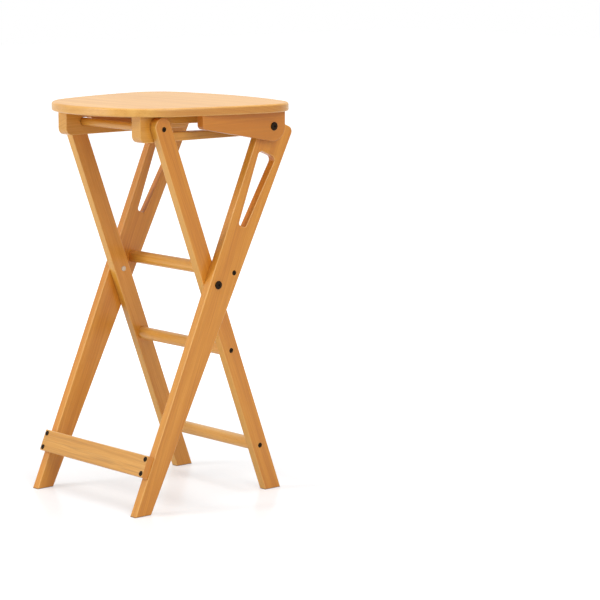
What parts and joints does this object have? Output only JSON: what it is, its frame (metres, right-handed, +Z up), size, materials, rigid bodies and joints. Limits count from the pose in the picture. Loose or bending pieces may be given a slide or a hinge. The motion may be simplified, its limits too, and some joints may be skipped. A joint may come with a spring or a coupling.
{
  "type": "folding bar stool",
  "caption": "Tall folding wooden stool: crossed leg frames, rounded seat on slotted rails, round rungs and a flat footrest.",
  "frame": {"origin": "on the floor under the centre of the open stool's bounding box, which is the middle of the seat", "axes": "+Z up, X along the rungs, -Y to the front, where the footrest is; +Y is where the seat hinges"},
  "size_m": [0.432, 0.4066, 0.762],
  "materials": {
    "seat_wood": "satin",
    "frame_wood": "satin",
    "dowel_wood": "satin",
    "black_steel": "satin",
    "zinc_steel": "satin"
  },
  "bodies": {
    "handle_frame": {"footrest_board": "frame_wood", "footrest_screws": "black_steel", "handle_leg_left": "frame_wood", "handle_leg_right": "frame_wood", "leg_pivot_bolt_left": "black_steel", "leg_pivot_bolt_right": "black_steel", "leg_pivot_sleeve_left": "zinc_steel", "leg_pivot_sleeve_right": "zinc_steel", "leg_pivot_washer_left": "black_steel", "leg_pivot_washer_right": "black_steel", "seat_pivot_bolt_left": "black_steel", "seat_pivot_bolt_right": "black_steel", "seat_pivot_insert_left": "zinc_steel", "seat_pivot_insert_right": "zinc_steel", "seat_pivot_washer_left": "black_steel", "seat_pivot_washer_right": "black_steel", "upper_rung": "dowel_wood", "upper_rung_screws": "black_steel"},
    "inner_frame": {"inner_leg_left": "frame_wood", "inner_leg_right": "frame_wood", "lower_rung": "dowel_wood", "lower_rung_screws": "black_steel", "middle_rung": "dowel_wood", "middle_rung_screws": "black_steel", "top_dowel": "dowel_wood", "top_dowel_screws": "black_steel"},
    "seat": {"seat_board": "seat_wood", "seat_bracket_left": "frame_wood", "seat_bracket_right": "frame_wood", "slotted_rail_left": "frame_wood", "slotted_rail_right": "frame_wood"}
  },
  "joints": [
    {"name": "leg_fold", "type": "hinge", "parent": "handle_frame", "child": "inner_frame", "pos_m": [0, 0.0078, 0.421], "axis": [-1, 0, 0], "range_deg": [0, 42.8]},
    {"name": "seat_tilt", "type": "hinge", "parent": "handle_frame", "child": "seat", "pos_m": [0, 0.13161, 0.71684], "axis": [-1, 0, 0], "range_deg": [0, 21.4]}
  ],
  "couplings": [
    {"joint": "seat_tilt", "follows": "leg_fold", "ratio": 0.5}
  ]
}
